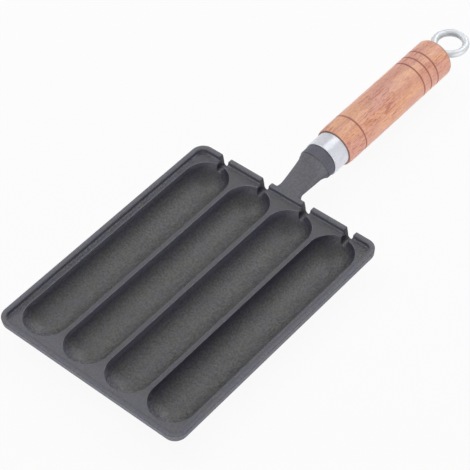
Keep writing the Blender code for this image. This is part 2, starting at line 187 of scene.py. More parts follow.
class FinishColours(bpy.types.PropertyGroup):
    """Colours of the finishes."""

    iron: colour("Iron", "Cast iron on the rim, the outer walls and the neck", srgb(88, 88, 96))
    iron_land: colour("Iron on the lands", "Cast iron between and around the troughs", srgb(57, 57, 64))
    # Painted shade: this darker iron covers the steep upper walls of the troughs
    iron_shaded_wall: colour("Iron on the trough walls", "Oiled cast iron on the steep walls", srgb(35, 34, 50))
    iron_trough: colour("Iron in the troughs", "Oiled cast iron on the trough floors", srgb(71, 71, 71))
    iron_collar: colour("Iron of the collar", "Bluish cast iron of the collar", srgb(70, 70, 84))
    # Wear and painted highlight: pale iron along the trough mouths, on the rim's top, on the slope at its
    # foot and on the troughs' front ends
    iron_wear_and_highlight: colour("Worn iron", "Cast iron rubbed pale along mouths and edges", srgb(130, 130, 137))
    wood: colour("Wood", "Main colour of the grip", srgb(226, 163, 141))
    wood_pale: colour("Pale wood", "Pale orange patches", srgb(240, 178, 138))
    wood_grain: colour("Wood grain", "Reddish streaks along the grip", srgb(182, 98, 78))
    scorch: colour("Scorch", "Scorched grooves", srgb(156, 84, 64))
    zinc: colour("Zinc plate", "Matt zinc of the ferrule", srgb(231, 233, 241))
    bright_zinc: colour("Bright zinc", "Brighter zinc of the washer and the ring", srgb(217, 221, 225))


class GrillPanSettings(bpy.types.PropertyGroup):
    """Everything a user may change."""

    casting: PointerProperty(type=CastingSizes)
    neck: PointerProperty(type=NeckSizes)
    grip: PointerProperty(type=GripSizes)
    bolt: PointerProperty(type=BoltSizes)
    finish: PointerProperty(type=FinishColours)


# Node maths

class Value:
    """A node's output that takes part in Python arithmetic; each operation adds a Math node.

    A bar between two values takes the greater one, which for masks is where either of them lies.
    """

    def __init__(self, graph, socket):
        self.graph = graph
        self.socket = socket

    def math(self, operation, *others, first=None):
        """One Math node on this value; first comes before it where the order is turned round."""
        operands = [self, *others] if first is None else [first, self]
        return self.graph.node("ShaderNodeMath", {"operation": operation}, dict(enumerate(operands)))

    def __add__(self, other):
        return self.math("ADD", other)

    def __sub__(self, other):
        return self.math("SUBTRACT", other)

    def __mul__(self, other):
        return self.math("MULTIPLY", other)

    def __truediv__(self, other):
        return self.math("DIVIDE", other)

    def __rsub__(self, other):
        return self.math("SUBTRACT", first=other)

    def __or__(self, other):
        return self.math("MAXIMUM", other)

    def __abs__(self):
        return self.math("ABSOLUTE")

    __radd__ = __add__
    __rmul__ = __mul__

    def clamped(self):
        """This value held between 0 and 1."""
        return self.graph.node("ShaderNodeClamp", {}, {"Value": self})

    def steps(self, low, high):
        """A smooth step from 0 at low to 1 at high, which may lie below low."""
        return self.graph.node("ShaderNodeMapRange", {"interpolation_type": "SMOOTHSTEP"},
                               {"Value": self, "From Min": low, "From Max": high})


class Graph:
    """Adds nodes to a node tree and hands back their outputs as values."""

    def __init__(self, tree):
        self.tree = tree

    def node(self, kind, settings, inputs, output=0):
        """A node of a kind, with its settings set first and its sockets given values or links."""
        made = self.tree.nodes.new(kind)
        for name, setting in settings.items():
            setattr(made, name, setting)
        for name, given in inputs.items():
            if isinstance(given, Value):
                self.tree.links.new(given.socket, made.inputs[name])
            else:
                made.inputs[name].default_value = given
        return Value(self, made.outputs[output]) if len(made.outputs) else None

    def axis(self, place, name):
        """One coordinate of a place."""
        return self.node("ShaderNodeSeparateXYZ", {}, {"Vector": place}, name)

    def mix(self, share, first, second, blend="MIX"):
        """A mix of two colours."""
        return self.node("ShaderNodeMix", {"data_type": "RGBA", "blend_type": blend},
                         {0: share, 6: as_colour(first), 7: as_colour(second)}, 2)

    def times(self, tint, factor):
        """A colour times another, channel by channel."""
        return self.mix(1.0, tint, factor, "MULTIPLY")

    def noise(self, place, scale, detail=2.0, roughness=0.5):
        """Noise between 0 and 1, about as many lumps to the metre as scale says."""
        return self.node("ShaderNodeTexNoise", {},
                         {"Vector": place, "Scale": scale, "Detail": detail, "Roughness": roughness})


def as_colour(given):
    """A colour with its alpha, or a value left as it is."""
    return given if isinstance(given, Value) or len(given) == 4 else (*given, 1.0)


# Finishes

# Colour of painted shade along the rim's edges and inner wall, in the notches, at the collar's lines and
# under the neck
PAINTED_SHADE = srgb(32, 32, 44)
# Colour of painted shade at the grip's joint with the ferrule and round its end
JOINT_SHADE = srgb(98, 72, 64)
COOL_CAST = (0.98, 0.98, 1.07)
WARM_CAST = (1.02, 1.02, 0.97)
GRAIN_SHADOW = (0.35, 0.35, 0.35)
GRAIN_LIGHT = (1.65, 1.65, 1.65)
NO_BRUSHING = (1.0, 1.0, 1.0)
BRUSHED_ALONG = (1.0, 0.2, 1.0)

# Heights above the land between which one tone of the iron gives way to the next: wear with a painted
# highlight along the trough mouths, and a painted highlight on the slope at the rim's foot
WEAR_AND_HIGHLIGHT_STARTS = (-0.00025, -0.00015)
WEAR_AND_HIGHLIGHT_ENDS = (-0.00008, -0.00002)
SLOPE_STARTS = (0.00005, 0.0003)

# Scales of the noise
MOTTLE_SCALE = 70.0
CAST_SCALE = 90.0
GRAIN_SCALE = 620.0
FINE_SCALE = 1500.0
STREAK_SCALE = 800.0
PATCH_SCALE = 110.0
ZONE_SCALE = 60.0
CLOUD_SCALE = 160.0


def new_material(name):
    """An empty material with its Principled shader and a graph to build with."""
    made = bpy.data.materials.new(name)
    made.use_nodes = True
    shader = made.node_tree.nodes["Principled BSDF"]
    return made, shader, Graph(made.node_tree)


def feed(graph, shader, name, value):
    """Links a value into one socket of the shader."""
    graph.tree.links.new(value.socket, shader.inputs[name])


def object_place(graph, scale=(1.0, 1.0, 1.0)):
    """Object coordinates, stretched along the axes by a Mapping node."""
    place = graph.node("ShaderNodeTexCoord", {}, {}, "Object")
    return graph.node("ShaderNodeMapping", {}, {"Vector": place, "Scale": scale})


def outline_depth(across, along, sizes):
    """How far a place lies outside the plate's rounded outline; negative inside it."""
    corner = sizes.corner_radius
    half_length = sizes.plate_length / 2
    side = abs(across) - (PAN_HIGH.x - corner)
    end = abs(along - (FRONT_Y + half_length)) - (half_length - corner)
    outer_side = side | 0.0
    outer_end = end | 0.0
    outside = (outer_side * outer_side + outer_end * outer_end).math("SQRT")
    return outside + (side | end).math("MINIMUM", 0.0) - corner


class IronPlace:
    """Where a point of the casting lies; each method is a mask, 1 on what it names and 0 elsewhere.

    above counts from the land, beyond from the plate's outline, behind from its back edge and
    collar from the collar's leaning front edge.
    """

    def __init__(self, graph, sizes, neck, plan):
        self.sizes = sizes
        self.neck = neck
        self.plan = plan
        self.point = object_place(graph)
        self.across = graph.axis(self.point, "X")
        self.along = graph.axis(self.point, "Y")
        self.height = graph.axis(self.point, "Z")
        self.above = self.height - plan.land_z
        self.beyond = outline_depth(self.across, self.along, sizes)
        self.behind = self.along - plan.back_y
        self.collar = self.behind - neck.neck_length + (self.height - AXIS_Z) * neck.collar_lean

    def front_ends(self):
        """The front edge, fading out over the troughs' round front ends."""
        start = self.plan.trough_front_y
        return self.along.steps(start + self.sizes.trough_width / 2, start)

    def back_land(self):
        """The land between the troughs and the back rim."""
        start = self.plan.trough_back_y
        return self.along.steps(start - 0.001, start + 0.001) * self.above.steps(-0.0006, -0.0002)

    def side_land(self):
        """The land between the outermost troughs and the rim."""
        foot = -self.sizes.rim_width
        return self.beyond.steps(foot - 0.0045, foot - 0.0025) * self.above.steps(-0.0003, -0.0001)

    def raised_and_outer(self):
        """The rim, the neck, the outer wall and the underside."""
        high = self.above.steps(0.0006, self.sizes.rim_height - 0.0008)
        return high | self.beyond.steps(-0.0014, -0.0005)

    def rim_top(self):
        """The rim's flat top, without the stretch that the neck springs from."""
        root = self.neck.root_width / 2 + self.neck.root_spread
        inside = -self.sizes.rim_width - 0.001
        near = abs(self.across).steps(root + 0.0015, root - 0.0005)
        near = near * self.behind.steps(inside - 0.002, inside - 0.001)
        off = near | self.beyond.steps(0.0, 0.0001)
        top = self.sizes.rim_height
        return self.above.steps(top - 0.0006, top - 0.0003) * (1 - off)

    def rim_inside(self):
        """The rim's inner wall, above the slope at its foot."""
        slope = self.sizes.ledge_height
        top = self.sizes.rim_height
        near = abs(self.beyond + self.sizes.rim_width).steps(0.0003, 0.0001)
        return near * self.above.steps(slope, slope + 0.0002) * self.above.steps(top - 0.0002, top - 0.0008)

    def notches(self):
        """The sides and floors of the notches, which lie in line with the troughs."""
        half = self.sizes.notch_width / 2
        cell = (self.across / self.sizes.trough_pitch + self.sizes.trough_count / 2).math("FRACT")
        away = abs(cell - 0.5) * self.sizes.trough_pitch
        through = self.behind.steps(-self.sizes.back_margin, -self.sizes.rim_width)
        return away.steps(half + 0.0005, half) * through * self.behind.steps(0.002, 0.001)

    def collar_lines(self):
        """The lines where the collar begins and where it meets the ferrule, about half strong."""
        start = self.collar.steps(-0.0013, -0.0006) * self.collar.steps(0.0001, -0.0002)
        end = (self.along - PAN_HIGH.y).steps(-0.0009, -0.0003)
        return start * 0.55 | end * 0.5

    def neck_top(self):
        """The upper side of the neck."""
        root = -self.neck.neck_length
        return self.collar.steps(root, root * 0.6) * self.collar.steps(0.0, -0.004)

    def neck_underside(self):
        """The lower half of the neck."""
        climb = (self.neck.end_rise - self.neck.end_below) / 2 / self.neck.neck_length
        low = (self.height - self.plan.rim_z - self.behind * climb).steps(0.0015, -0.0030)
        return low * self.behind.steps(0.0005, 0.0040) * self.collar.steps(0.0005, -0.0005)


def land_and_troughs(graph, spot, colours):
    """Trough walls darkened by painted shade, paler floors, wear with a painted highlight on the mouths, a
    painted highlight on the slope at the rim's foot, and painted light on the lands by the rim and on the
    troughs' front ends.
    """
    above = spot.above
    front = spot.front_ends()
    # Painted shade: the trough walls are darker near the land, the floors lighter deep down
    tint = graph.mix(above.steps(-0.0020, -0.0125), colours.iron_shaded_wall, colours.iron_trough)
    # Wear with a painted highlight along the trough mouths, then the land, then a painted highlight on the
    # slope at the rim's foot
    tint = graph.mix(above.steps(*WEAR_AND_HIGHLIGHT_STARTS), tint, colours.iron_wear_and_highlight)
    tint = graph.mix(above.steps(*WEAR_AND_HIGHLIGHT_ENDS), tint, colours.iron_land)
    tint = graph.mix(above.steps(*SLOPE_STARTS) * 0.85, tint, colours.iron_wear_and_highlight)
    # Painted light: the lands beside the back and side rims and the troughs' front ends are lightened
    pale = front * 0.8 | spot.back_land() * 0.6 | spot.side_land() * 0.7
    tint = graph.mix(pale, tint, colours.iron)
    # Painted light on the front end walls of the troughs
    return graph.mix(front * above.steps(-0.0002, -0.0015) * 0.22, tint, colours.iron_wear_and_highlight)


def rim_lines(graph, spot, tint, colours):
    """The rim's top: painted shade along both edges, and wear with a painted highlight on its outer half."""
    top = spot.rim_top()
    outward = (spot.beyond / spot.sizes.rim_width + 1).clamped()
    tint = graph.mix(top * outward.steps(0.32, 0.10) * 0.5, tint, PAINTED_SHADE)
    tint = graph.mix(top * outward.steps(0.45, 0.75) * 0.24, tint, colours.iron_wear_and_highlight)
    return graph.mix(top * outward.steps(0.82, 0.92) * 0.5, tint, PAINTED_SHADE)


def cast_iron(colours, sizes, neck, plan):
    """Oiled sand-cast iron: paler rim, neck and outer wall, darker lands and troughs, fine grain, wear with
    painted highlight on mouths and edges, and painted shade on the trough walls and in the creases.
    """
    made, shader, graph = new_material("cast_iron_finish")
    spot = IronPlace(graph, sizes, neck, plan)
    mottle = graph.noise(spot.point, MOTTLE_SCALE, 3.0)
    grain = graph.noise(spot.point, GRAIN_SCALE, 2.0, 0.6)
    pits = graph.noise(spot.point, FINE_SCALE)
    raised_and_outer = spot.raised_and_outer()
    # The rim, the neck and the outer wall take the paler iron
    tint = graph.mix(raised_and_outer, land_and_troughs(graph, spot, colours), colours.iron)
    tint = rim_lines(graph, spot, tint, colours)
    # Painted shade on the rim's inner wall, in the notches and along the collar's lines
    painted_crease_shade = spot.rim_inside() * 0.84 | spot.notches() * 0.86 | spot.collar_lines()
    tint = graph.mix(painted_crease_shade, tint, PAINTED_SHADE)
    tint = graph.mix(spot.collar.steps(-0.0005, 0.0005) * 0.75, tint, colours.iron_collar)
    # Painted shade under the neck
    tint = graph.mix(spot.neck_underside() * 0.6, tint, PAINTED_SHADE)
    cool = graph.noise(spot.point, CAST_SCALE).steps(0.40, 0.60) * (1 - spot.neck_top() * 0.8)
    tint = graph.times(tint, graph.mix(cool, WARM_CAST, COOL_CAST))
    rough = 1 - spot.above.steps(-0.004, -0.0005) * 0.65
    shade = ((mottle - 0.5) * 0.3 + (grain.steps(0.36, 0.64) - 0.5) * rough + 0.5).clamped()
    tint = graph.mix(shade, graph.times(tint, GRAIN_SHADOW), graph.times(tint, GRAIN_LIGHT))
    feed(graph, shader, "Base Color", tint)
    feed(graph, shader, "Roughness", 0.52 + raised_and_outer * 0.1 + (mottle - 0.5) * 0.16 + (grain - 0.5) * 0.4)
    soft = graph.node("ShaderNodeBevel", {"samples": 6}, {"Radius": 0.0003})
    bump = graph.node("ShaderNodeBump", {}, {"Strength": 0.7, "Distance": 0.0006, "Normal": soft,
                                             "Height": grain + pits * 0.4})
    feed(graph, shader, "Normal", bump)
    shader.inputs["IOR"].default_value = 1.6
    return made


def turned_wood(colours, grip, grooves):
    """Pale reddish hardwood: streaks and flecks along the grip, scorched grooves, and painted shade at the
    ferrule joint and round the grip's end.
    """
    made, shader, graph = new_material("turned_wood_finish")
    streaks = graph.noise(object_place(graph, (1.0, 0.10, 1.0)), STREAK_SCALE, 4.0, 0.7)
    broad = graph.noise(object_place(graph, (1.0, 0.20, 1.0)), PATCH_SCALE, 3.0, 0.6)
    flecks = graph.noise(object_place(graph, (1.0, 0.18, 1.0)), FINE_SCALE, 3.0, 0.7)
    zone = graph.noise(object_place(graph, (1.0, 0.35, 1.0)), ZONE_SCALE, 1.0).steps(0.40, 0.60)
    tint = graph.mix(broad.steps(0.42, 0.60), colours.wood, colours.wood_pale)
    tint = graph.mix(streaks.steps(0.49, 0.62) * (0.3 + zone * 0.7), tint, colours.wood_grain)
    tint = graph.mix(flecks.steps(0.51, 0.63) * (0.45 + zone * 0.5), tint, colours.wood_grain)
    place = graph.axis(object_place(graph), "Y")
    scorched = None
    for groove in grooves:
        away = abs(place - groove)
        mark = away.steps(grip.groove_width * 0.75, grip.groove_width * 0.35)
        scorched = mark if scorched is None else scorched | mark
    tint = graph.mix(scorched * 0.95, tint, colours.scorch)
    joint = grooves[0] - grip.front_groove
    # Painted shadow in the gap at the ferrule joint
    tint = graph.mix(place.steps(joint + 0.0004, joint + 0.0001) * 0.8, tint, JOINT_SHADE)
    # Painted shade on the rounding at the grip's end
    tint = graph.mix(place.steps(GRIP_HIGH.y - 0.0034, GRIP_HIGH.y - 0.0018) * 0.55, tint, JOINT_SHADE)
    feed(graph, shader, "Base Color", tint)
    feed(graph, shader, "Roughness", 0.42 + streaks * 0.16)
    bump = graph.node("ShaderNodeBump", {}, {"Strength": 0.2, "Distance": 0.0001,
                                             "Height": streaks * 0.5 + flecks})
    feed(graph, shader, "Normal", bump)
    shader.inputs["Coat Weight"].default_value = 0.9
    shader.inputs["Coat Roughness"].default_value = 0.65
    shader.inputs["Sheen Weight"].default_value = 0.35
    shader.inputs["Sheen Roughness"].default_value = 0.35
    return made


def zinc(name, tint, roughness, brushing, metallic):
    """Zinc plate with faint clouding; brushing stretches its fine marks along the axes."""
    made, shader, graph = new_material(name)
    cloud = graph.noise(object_place(graph), CLOUD_SCALE, 3.0)
    marks = graph.noise(object_place(graph, brushing), FINE_SCALE)
    dull = tuple(channel * 0.82 for channel in tint)
    feed(graph, shader, "Base Color", graph.mix(cloud.steps(0.45, 0.75) * 0.5, tint, dull))
    feed(graph, shader, "Roughness", roughness + (cloud - 0.5) * 0.12 + (marks - 0.5) * 0.08)
    bump = graph.node("ShaderNodeBump", {}, {"Strength": 0.08, "Distance": 0.00005, "Height": marks})
    feed(graph, shader, "Normal", bump)
    shader.inputs["Metallic"].default_value = metallic
    return made


# Mesh making

def object_from(name, mesh):
    """An object at the origin, put into the scene."""
    made = bpy.data.objects.new(name, mesh)
    bpy.context.scene.collection.objects.link(made)
    return made


def mesh_from(name, points, faces):
    """A mesh with its faces turned outwards."""
    mesh = bpy.data.meshes.new(name)
    mesh.from_pydata([tuple(point) for point in points], [], faces)
    work = bmesh.new()
    work.from_mesh(mesh)
    bmesh.ops.recalc_face_normals(work, faces=work.faces)
    work.to_mesh(mesh)
    work.free()
    return mesh


def loft(name, loops, closed=False):
    """A solid through loops of equally many points, capped at both ends or closed to a ring."""
    count = len(loops[0])
    points = [point for loop in loops for point in loop]
    last = len(points) - count
    faces = [] if closed else [tuple(range(count))[::-1]]
    for low in range(0, len(points) if closed else last, count):
        high = (low + count) % len(points)
        for step in range(count):
            after = (step + 1) % count
            faces.append((low + step, low + after, high + after, high + step))
    if not closed:
        faces.append(tuple(range(last, last + count)))
    return object_from(name, mesh_from(name, points, faces))


def settle(thing):
    """Turns an object's modifiers into its mesh and removes them."""
    graph = bpy.context.evaluated_depsgraph_get()
    graph.update()
    settled = bpy.data.meshes.new_from_object(thing.evaluated_get(graph))
    old = thing.data
    thing.modifiers.clear()
    thing.data = settled
    bpy.data.meshes.remove(old)


def combine(target, tool, operation):
    """Joins or cuts one solid with another and removes the tool."""
    step = target.modifiers.new(operation.lower(), "BOOLEAN")
    step.operation = operation
    step.solver = "EXACT"
    step.object = tool
    settle(target)
    bpy.data.objects.remove(tool, do_unlink=True)


def finish_piece(thing, finish, body, node, smooth_degrees=32.0):
    """Smooth shading between real edges, the finish, and what the piece stands for."""
    thing.data.materials.clear()
    thing.data.materials.append(finish)
    thing.data.shade_smooth()
    thing.data.set_sharp_from_angle(angle=math.radians(smooth_degrees))
    weighted = thing.modifiers.new("even normals", "WEIGHTED_NORMAL")
    weighted.keep_sharp = True
    settle(thing)
    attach(thing, body)
    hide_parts(node)


# Geometry Nodes trees

class Tree:
    """A Geometry Nodes tree with named inputs and a material, used through one modifier."""

    def __init__(self, name, inputs):
        self.tree = bpy.data.node_groups.new(name, "GeometryNodeTree")
        self.tree.is_modifier = True
        face = self.tree.interface
        face.new_socket(name="Geometry", in_out="OUTPUT", socket_type="NodeSocketGeometry")
        self.sockets = {}
        face.new_socket(name="Geometry", in_out="INPUT", socket_type="NodeSocketGeometry")
        for label, kind in {**inputs, "Material": "Material"}.items():
            self.sockets[label] = face.new_socket(name=label, in_out="INPUT", socket_type="NodeSocket" + kind)
        self.graph = Graph(self.tree)
        self.entry = self.tree.nodes.new("NodeGroupInput")

    def input(self, label):
        """The value of a named input."""
        return Value(self.graph, self.entry.outputs[label])

    def close(self, geometry):
        """Ends the tree with real geometry that carries its material."""
        graph = self.graph
        real = graph.node("GeometryNodeRealizeInstances", {}, {"Geometry": geometry})
        finish = self.input("Material")
        dressed = graph.node("GeometryNodeSetMaterial", {}, {"Geometry": real, "Material": finish})
        graph.node("NodeGroupOutput", {}, {"Geometry": dressed})

    def apply(self, thing, values):
        """Runs the tree on an object with these inputs and keeps the result as its mesh."""
        step = thing.modifiers.new(self.tree.name, "NODES")
        step.node_group = self.tree
        for label, given in values.items():
            step[self.sockets[label].identifier] = given
        settle(thing)


def row_tree():
    """Copies one form in a row across the pan, centred on its middle line."""
    tree = Tree("row across the pan", {"Count": "Int", "Pitch": "Float"})
    graph = tree.graph
    count = tree.input("Count")
    pitch = tree.input("Pitch")
    start = (count - 1) * pitch * -0.5
    line = graph.node("GeometryNodeMeshLine", {}, {
        "Count": count,
        "Start Location": graph.node("ShaderNodeCombineXYZ", {}, {"X": start}),
        "Offset": graph.node("ShaderNodeCombineXYZ", {}, {"X": pitch})})
    form = tree.input("Geometry")
    tree.close(graph.node("GeometryNodeInstanceOnPoints", {}, {"Points": line, "Instance": form}))
    return tree


def groove_tree():
    """Cuts round-bottomed grooves into a turned piece: one near its front and a row near its end."""
    tree = Tree("turned grooves", {
        "Axis Height": "Float", "Front Groove": "Float", "Last Groove": "Float", "Spacing": "Float",
        "Count": "Int", "Width": "Float", "Depth": "Float", "Least Radius": "Float"})
    graph = tree.graph
    place = graph.node("GeometryNodeInputPosition", {}, {})
    across = graph.axis(place, "X")
    along = graph.axis(place, "Y")
    height = graph.axis(place, "Z") - tree.input("Axis Height")
    radius = (across * across + height * height).math("SQRT")
    spacing = tree.input("Spacing")
    back = (tree.input("Last Groove") - along) / spacing
    nearest = (back.math("ROUND") | 0.0).math("MINIMUM", tree.input("Count") - 1)
    away_end = abs((back - nearest) * spacing)
    away_front = abs(along - tree.input("Front Groove"))
    away = away_end.math("MINIMUM", away_front) / (tree.input("Width") * 0.5)
    cut = (1 - away * away | 0.0) * tree.input("Depth")
    outside = radius.math("GREATER_THAN", tree.input("Least Radius"))
    share = cut * outside / (radius | 0.001)
    shift = graph.node("ShaderNodeCombineXYZ", {}, {"X": across * share * -1.0, "Z": height * share * -1.0})
    moved = graph.node("GeometryNodeSetPosition", {}, {"Geometry": tree.input("Geometry"), "Offset": shift})
    tree.close(moved)
    return tree


def ring_tree():
    """A round wire bent to a closed level ring."""
    tree = Tree("wire ring", {"Ring Radius": "Float", "Wire Radius": "Float", "Centre": "Vector"})
    graph = tree.graph
    circle = "GeometryNodeCurvePrimitiveCircle"
    path = graph.node(circle, {}, {"Resolution": RING_STEPS, "Radius": tree.input("Ring Radius")})
    wire = graph.node(circle, {}, {"Resolution": WIRE_STEPS, "Radius": tree.input("Wire Radius")})
    ring = graph.node("GeometryNodeCurveToMesh", {}, {"Curve": path, "Profile Curve": wire})
    placed = graph.node("GeometryNodeTransform", {}, {"Geometry": ring, "Translation": tree.input("Centre")})
    tree.close(placed)
    return tree


# Fineness of the meshes

CORNER_STEPS = 20
EDGE_STEPS = 5
END_STEPS = 36
WALL_STEPS = 26
NECK_POINTS = 80
NECK_STATIONS = 56
LATHE_STEPS = 128
RING_STEPS = 144
WIRE_STEPS = 48
ROW_SPACING = 0.00028
LAST_ARC_DEGREES = 76.0


# Pan casting

FOOT_FLAT = 0.0008
FLOOR_DEGREES = 1.5
CUT_MARGIN = 0.0030
NECK_CURVE = 1.15

# How far a cutter stands clear of its rounding, as shares of the rounding's radius
CLEAR_WIDTH = 1.6
CLEAR_HEIGHT = 0.2

# Squareness of the neck's sections: 2 is an ellipse, more is a soft rectangle
ROOT_SECTION = 3.0
END_SECTION = 2.4
ROUND_SECTION = 2.0


class CastingPlan:
    """Heights and places of the casting, worked out from its sizes."""

    def __init__(self, sizes):
        self.rim_z = sizes.trough_depth + sizes.wall - FOOT_FLAT + sizes.rim_height
        self.land_z = self.rim_z - sizes.rim_height
        self.underside_z = self.land_z - sizes.plate_thickness
        self.back_y = FRONT_Y + sizes.plate_length
        self.trough_front_y = FRONT_Y + sizes.front_margin
        self.trough_back_y = self.back_y - sizes.back_margin
        half = sizes.trough_width / 2
        self.arc_radius = (half ** 2 + sizes.trough_depth ** 2) / (2 * sizes.trough_depth)
        self.arc_centre_z = self.land_z + self.arc_radius - sizes.trough_depth


def mix(low, high, share):
    """The value that lies share of the way from low to high."""
    return low + (high - low) * share


def arc(radius, last_degrees=90.0, steps=EDGE_STEPS):
    """A rounding's (inset, rise) pairs: it starts upright and leans over by last_degrees."""
    pairs = []
    for step in range(steps + 1):
        angle = math.radians(last_degrees) * step / steps
        pairs.append((radius * (1 - math.cos(angle)), radius * math.sin(angle)))
    return pairs


def bend(x, y, radius, start, turn, steps):
    """Points of an arc about (x, y) that begins at start and goes on by turn, both in degrees."""
    points = []
    for step in range(steps + 1):
        angle = math.radians(start + turn * step / steps)
        points.append((x + radius * math.cos(angle), y + radius * math.sin(angle)))
    return points


def rounded_rectangle(sizes, plan, inset, z):
    """The plate's outline, drawn in by inset, at one height."""
    corner = max(sizes.corner_radius - inset, 0.001)
    half = PAN_HIGH.x - inset - corner
    front = FRONT_Y + inset + corner
    back = plan.back_y - inset - corner
    loop = []
    for x, y, start in ((half, back, 0), (-half, back, 90), (-half, front, 180), (half, front, 270)):
        loop += bend(x, y, corner, start, 90, CORNER_STEPS)
    return [(x, y, z) for x, y in loop]


def plate(sizes, plan):
    """The plate: round the underside, up the wall, over the rim and down to the land."""
    rows = []
    for inset, rise in reversed(arc(sizes.edge_rounding)):
        rows.append((sizes.edge_draft + inset, plan.underside_z + sizes.edge_rounding - rise))
    top = sizes.rim_rounding
    for inset, rise in arc(top):
        rows.append((inset, plan.rim_z - top + rise))
    for inset, rise in reversed(arc(top)):
        rows.append((sizes.rim_width - inset, plan.rim_z - top + rise))
    rows.append((sizes.rim_width, plan.land_z + sizes.ledge_height))
    rows.append((sizes.rim_width + sizes.ledge_width, plan.land_z))
    return loft("cast_pan", [rounded_rectangle(sizes, plan, inset, z) for inset, z in rows])


def trough_outline(sizes, plan, reach, z):
    """A trough's round-ended outline, drawn out by reach, at one height."""
    half_width = sizes.trough_width / 2 + reach
    front = plan.trough_front_y - reach + half_width
    back = plan.trough_back_y + reach - half_width
    loop = bend(0.0, back, half_width, 0, 180, END_STEPS) + bend(0.0, front, half_width, 180, 180, END_STEPS)
    return [(x, y, z) for x, y in loop]


def trough_form(sizes, plan, radius, low_angle, top_z):
    """A trough's round-bottomed form on the pan's middle line, up to top_z."""
    high_angle = math.acos((plan.arc_centre_z - top_z) / radius)
    loops = []
    for step in range(WALL_STEPS + 1):
        angle = mix(low_angle, high_angle, step / WALL_STEPS)
        reach = radius * math.sin(angle) - sizes.trough_width / 2
        loops.append(trough_outline(sizes, plan, reach, plan.arc_centre_z - radius * math.cos(angle)))
    return loops


def trough_skin(sizes, plan):
    """The outside of a trough's even wall, level where it stands on the table."""
    radius = plan.arc_radius + sizes.wall
    foot_angle = math.acos(plan.arc_centre_z / radius)
    top_z = (plan.underside_z + plan.land_z) / 2
    return loft("trough_skin", trough_form(sizes, plan, radius, foot_angle, top_z))


def trough_hollow(sizes, plan):
    """The hollow of a trough with its rounded mouth."""
    rounding = sizes.mouth_rounding
    floor_angle = math.radians(FLOOR_DEGREES)
    loops = trough_form(sizes, plan, plan.arc_radius, floor_angle, plan.land_z - rounding)
    for inset, rise in arc(rounding, LAST_ARC_DEGREES)[1:]:
        loops.append(trough_outline(sizes, plan, inset, plan.land_z - rounding + rise))
    loops.append(trough_outline(sizes, plan, rounding * CLEAR_WIDTH, plan.land_z + rounding * CLEAR_HEIGHT))
    return loft("trough_hollow", loops)


def back_bar(sizes, plan):
    """The bar under the back edge that the notches cut and the neck springs from."""
    half = PAN_HIGH.x - sizes.corner_radius
    top = (plan.underside_z + plan.land_z) / 2
    bottom = plan.rim_z - sizes.bar_height
    inner = plan.trough_back_y - sizes.back_margin / 2
    loops = []
    for level, z in enumerate((bottom, bottom + sizes.bar_draft, top)):
        side = half - sizes.bar_end_inset * (2 - level) / 2
        back = plan.back_y - sizes.edge_draft - sizes.bar_draft * (2 - level) / 2
        loops.append([(side, inner, z), (side, back, z), (-side, back, z), (-side, inner, z)])
    return loft("back_bar", loops)


def notch_outline(sizes, plan, upper, lower, y):
    """A notch's section at one place along the pan, widened by upper above the land and lower below it."""
    half = sizes.notch_width / 2
    centre = plan.rim_z - sizes.notch_depth + sizes.notch_floor
    lean = (half - sizes.notch_floor) / (plan.rim_z - centre)
    rounding = sizes.notch_rounding
    wide = half + upper + rounding * CLEAR_WIDTH
    side = [(wide, plan.rim_z + CUT_MARGIN), (wide, plan.rim_z + rounding * CLEAR_HEIGHT)]
    for inset, rise in reversed(arc(rounding, LAST_ARC_DEGREES)):
        side.append((half - lean * (rounding - rise) + upper + inset, plan.rim_z - rounding + rise))
    foot = sizes.rim_height - sizes.rim_rounding
    side.append((half - lean * foot + upper, plan.rim_z - foot))
    side.append((half - lean * sizes.rim_height + lower, plan.land_z))
    floor = bend(0.0, centre, sizes.notch_floor + lower, 0, -180, END_STEPS)
    other_side = [(-across, z) for across, z in reversed(side)]
    return [(across, y, z) for across, z in side + floor + other_side]


def notch(sizes, plan):
    """The cutter of one stick notch, flared where it leaves the rim on both sides."""
    rounding = sizes.notch_rounding
    inner = plan.back_y - sizes.rim_width
    start = plan.trough_back_y - sizes.trough_width / 2
    loops = [notch_outline(sizes, plan, rounding, 0.0, start)]
    for inset, rise in reversed(arc(rounding)):
        loops.append(notch_outline(sizes, plan, inset, 0.0, inner + rounding - rise))
    for inset, rise in arc(rounding, LAST_ARC_DEGREES):
        loops.append(notch_outline(sizes, plan, inset, inset, plan.back_y - rounding + rise))
    wide = rounding * CLEAR_WIDTH
    loops.append(notch_outline(sizes, plan, wide, wide, plan.back_y + rounding * CLEAR_HEIGHT))
    loops.append(notch_outline(sizes, plan, wide, wide, plan.back_y + CUT_MARGIN))
    return loft("notch", loops)


def neck_section(y, half_width, bottom, top, squareness):
    """A rounded section of the neck at one place along the pan."""
    middle = (top + bottom) / 2
    height = (top - bottom) / 2
    loop = []
    for point in range(NECK_POINTS):
        angle = 2 * math.pi * point / NECK_POINTS
        across = math.copysign(abs(math.cos(angle)) ** (2 / squareness), math.cos(angle))
        up = math.copysign(abs(math.sin(angle)) ** (2 / squareness), math.sin(angle))
        loop.append((half_width * across, y, middle + height * up))
    return loop


def round_section(y, radius):
    """A circle about the grip's axis."""
    return neck_section(y, radius, AXIS_Z - radius, AXIS_Z + radius, ROUND_SECTION)


def ease(distance, over):
    """Eases in and out from 0, where distance is over or more, to 1, where distance is 0."""
    share = max(1.0 - distance / over, 0.0)
    return share * share * (3.0 - 2.0 * share)


